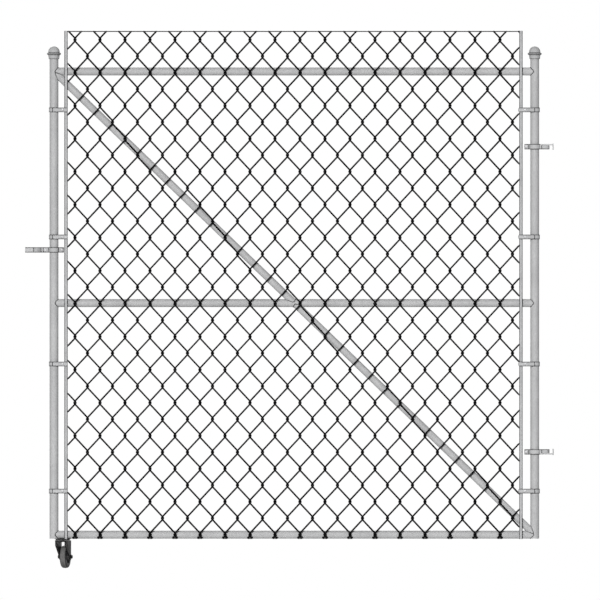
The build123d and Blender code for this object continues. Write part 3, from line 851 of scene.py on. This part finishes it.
def washer_profile(shank):
    """A flat washer with eased edges."""
    rim = shank * washer_ratio
    foot = [(shank, 0), (rim - 0.2 * MM, 0), (rim, 0.25 * MM)]
    return [*foot, (rim, 1.2 * MM), (rim - 0.25 * MM, washer_top), (shank, washer_top)]


def nut_profile(shank):
    """A hexagon nut on the washer, with its corners eased."""
    flat = shank * nut_ratio
    foot = [(shank, washer_top), (flat * 0.99, washer_top), (flat, 1.9 * MM, True)]
    top = [(flat, 6.6 * MM, True), (flat * 0.97, nut_top), (shank * 1.05, nut_top)]
    return [*foot, *top, (shank * 0.9, 6.9 * MM)]


def cross_bolt(shape, x, z, front_y, back_y, size):
    """A carriage bolt along Y: low dome in front, shank, washer, nut and thread end behind."""
    shank, head, head_height = size
    front = facing((x, front_y, z), (0, -1, 0))
    back = facing((x, back_y, z), (0, 1, 0))
    grip = back_y - front_y
    shape.lathe(dome_profile(head, head_height), front)
    shape.lathe([(shank, -grip), (shank, 0.2 * MM)], back)
    for profile in (washer_profile(shank), nut_profile(shank), thread_profile(shank)):
        shape.lathe(profile, back)


bolts = Shape()
for name in band_names:
    if name.startswith("latch"):
        bolt_x = (latch_upright.x + band_bend_end + latch_bar.x - bar_half_width) / 2
    else:
        bolt_x = (hinge_upright.x - band_bend_end + hinge_bar.x + bar_half_width) / 2
    cross_bolt(bolts, bolt_x, middle(name).z, band_front_y, band_leg_back_y, band_bolt)
for name, x in (
    ("lower_hinge_strap", hinge_upright.x - strap_bolt_from_upright),
    ("upper_hinge_strap", hinge_upright.x - strap_bolt_from_upright),
    ("latch_fork", latch_upright.x + clamp_bolt_from_upright),
):
    cross_bolt(bolts, x, middle(name).z, -flange_face_y, flange_face_y, strap_bolt)
bolts.make("clamp_bolts", finishes["zinc_hardware"], "leaf")

screws = Shape()
for name in ("lower_pintle", "upper_pintle"):
    for side in (-1, 1):
        seat = (plate_front_x, side * screw_spacing / 2, middle(name).z)
        screws.lathe(screw_head, facing(seat, (-1, 0, 0)))
screws.make("pintle_screws", finishes["zinc_hardware"], "brackets")


# Floor, light and camera


def backdrop_rays(tree):
    """1 for the rays that see the backdrop as white: those of the camera, of gloss and through glass."""
    path = tree.nodes.new("ShaderNodeLightPath")
    seen = path.outputs["Is Camera Ray"]
    for ray in ("Is Glossy Ray", "Is Transmission Ray"):
        either = tree.nodes.new("ShaderNodeMath")
        either.operation = "MAXIMUM"
        tree.links.new(seen, either.inputs[0])
        tree.links.new(path.outputs[ray], either.inputs[1])
        seen = either.outputs[0]
    return seen


def pale_floor():
    """A pale floor with a little mottling."""
    m = Nodes("floor", metallic=0.0, roughness=0.85, specular=0.2)
    tone = m.spread(m.noise(1.2, 4.0, 0.5), 0.3, 0.7)
    m.finish(m.mix(tone, (0.8, 0.8, 0.8), (0.84, 0.84, 0.84)))
    m.shader.inputs["Emission Color"].default_value = (1.0, 1.0, 1.0, 1.0)
    lift = m.maths("MULTIPLY", backdrop_rays(m.tree), floor_lift)
    m.link(lift, m.shader.inputs["Emission Strength"])
    mesh = bpy.data.meshes.new("floor")
    corners = [(view_middle.x + floor_half * x, floor_half * y, ground_z)
               for x, y in ((-1, -1), (1, -1), (1, 1), (-1, 1))]
    mesh.from_pydata(corners, [], [(0, 1, 2, 3)])
    floor = bpy.data.objects.new("floor", mesh)
    bpy.context.scene.collection.objects.link(floor)
    floor.data.materials.append(m.material)


def sun(name, azimuth, elevation, strength, angle):
    """A wide soft lamp; azimuth 0 is from the camera's side and positive is from the right."""
    light = bpy.data.lights.new(name, "SUN")
    light.energy = strength
    light.angle = radians(angle)
    obj = bpy.data.objects.new(name, light)
    az, el = radians(azimuth), radians(elevation)
    source = Vector((sin(az) * cos(el), -cos(az) * cos(el), sin(el)))
    obj.rotation_euler = source.to_track_quat("Z", "Y").to_euler()
    obj.location = view_middle + source * 5
    bpy.context.scene.collection.objects.link(obj)


def white_world(ambient):
    """White for the camera and in reflections, and a plain grey light on the object."""
    world = bpy.data.worlds.new("studio")
    world.use_nodes = True
    tree = world.node_tree
    tree.nodes.clear()
    output = tree.nodes.new("ShaderNodeOutputWorld")
    mix = tree.nodes.new("ShaderNodeMixShader")
    tree.links.new(backdrop_rays(tree), mix.inputs[0])
    for socket, strength in ((1, ambient), (2, 1.0)):
        white = tree.nodes.new("ShaderNodeBackground")
        white.inputs["Color"].default_value = (1, 1, 1, 1)
        white.inputs["Strength"].default_value = strength
        tree.links.new(white.outputs[0], mix.inputs[socket])
    tree.links.new(mix.outputs[0], output.inputs["Surface"])
    bpy.context.scene.world = world


pale_floor()
sun("key", azimuth=-10, elevation=12, strength=2.42, angle=10)
sun("top", azimuth=0, elevation=86, strength=0.5, angle=40)
sun("back", azimuth=180, elevation=25, strength=1.6, angle=30)
white_world(ambient=0.05)

camera_data = bpy.data.cameras.new("camera")
camera_data.type = "ORTHO"
camera_data.ortho_scale = photo_width * pixel_size
camera_data.clip_end = 50
camera = bpy.data.objects.new("camera", camera_data)
camera.location = view_middle + Vector((0, -camera_distance, 0))
camera.rotation_euler = (pi / 2, 0, 0)
bpy.context.scene.collection.objects.link(camera)
bpy.context.scene.camera = camera
bpy.context.scene.view_settings.view_transform = "Standard"
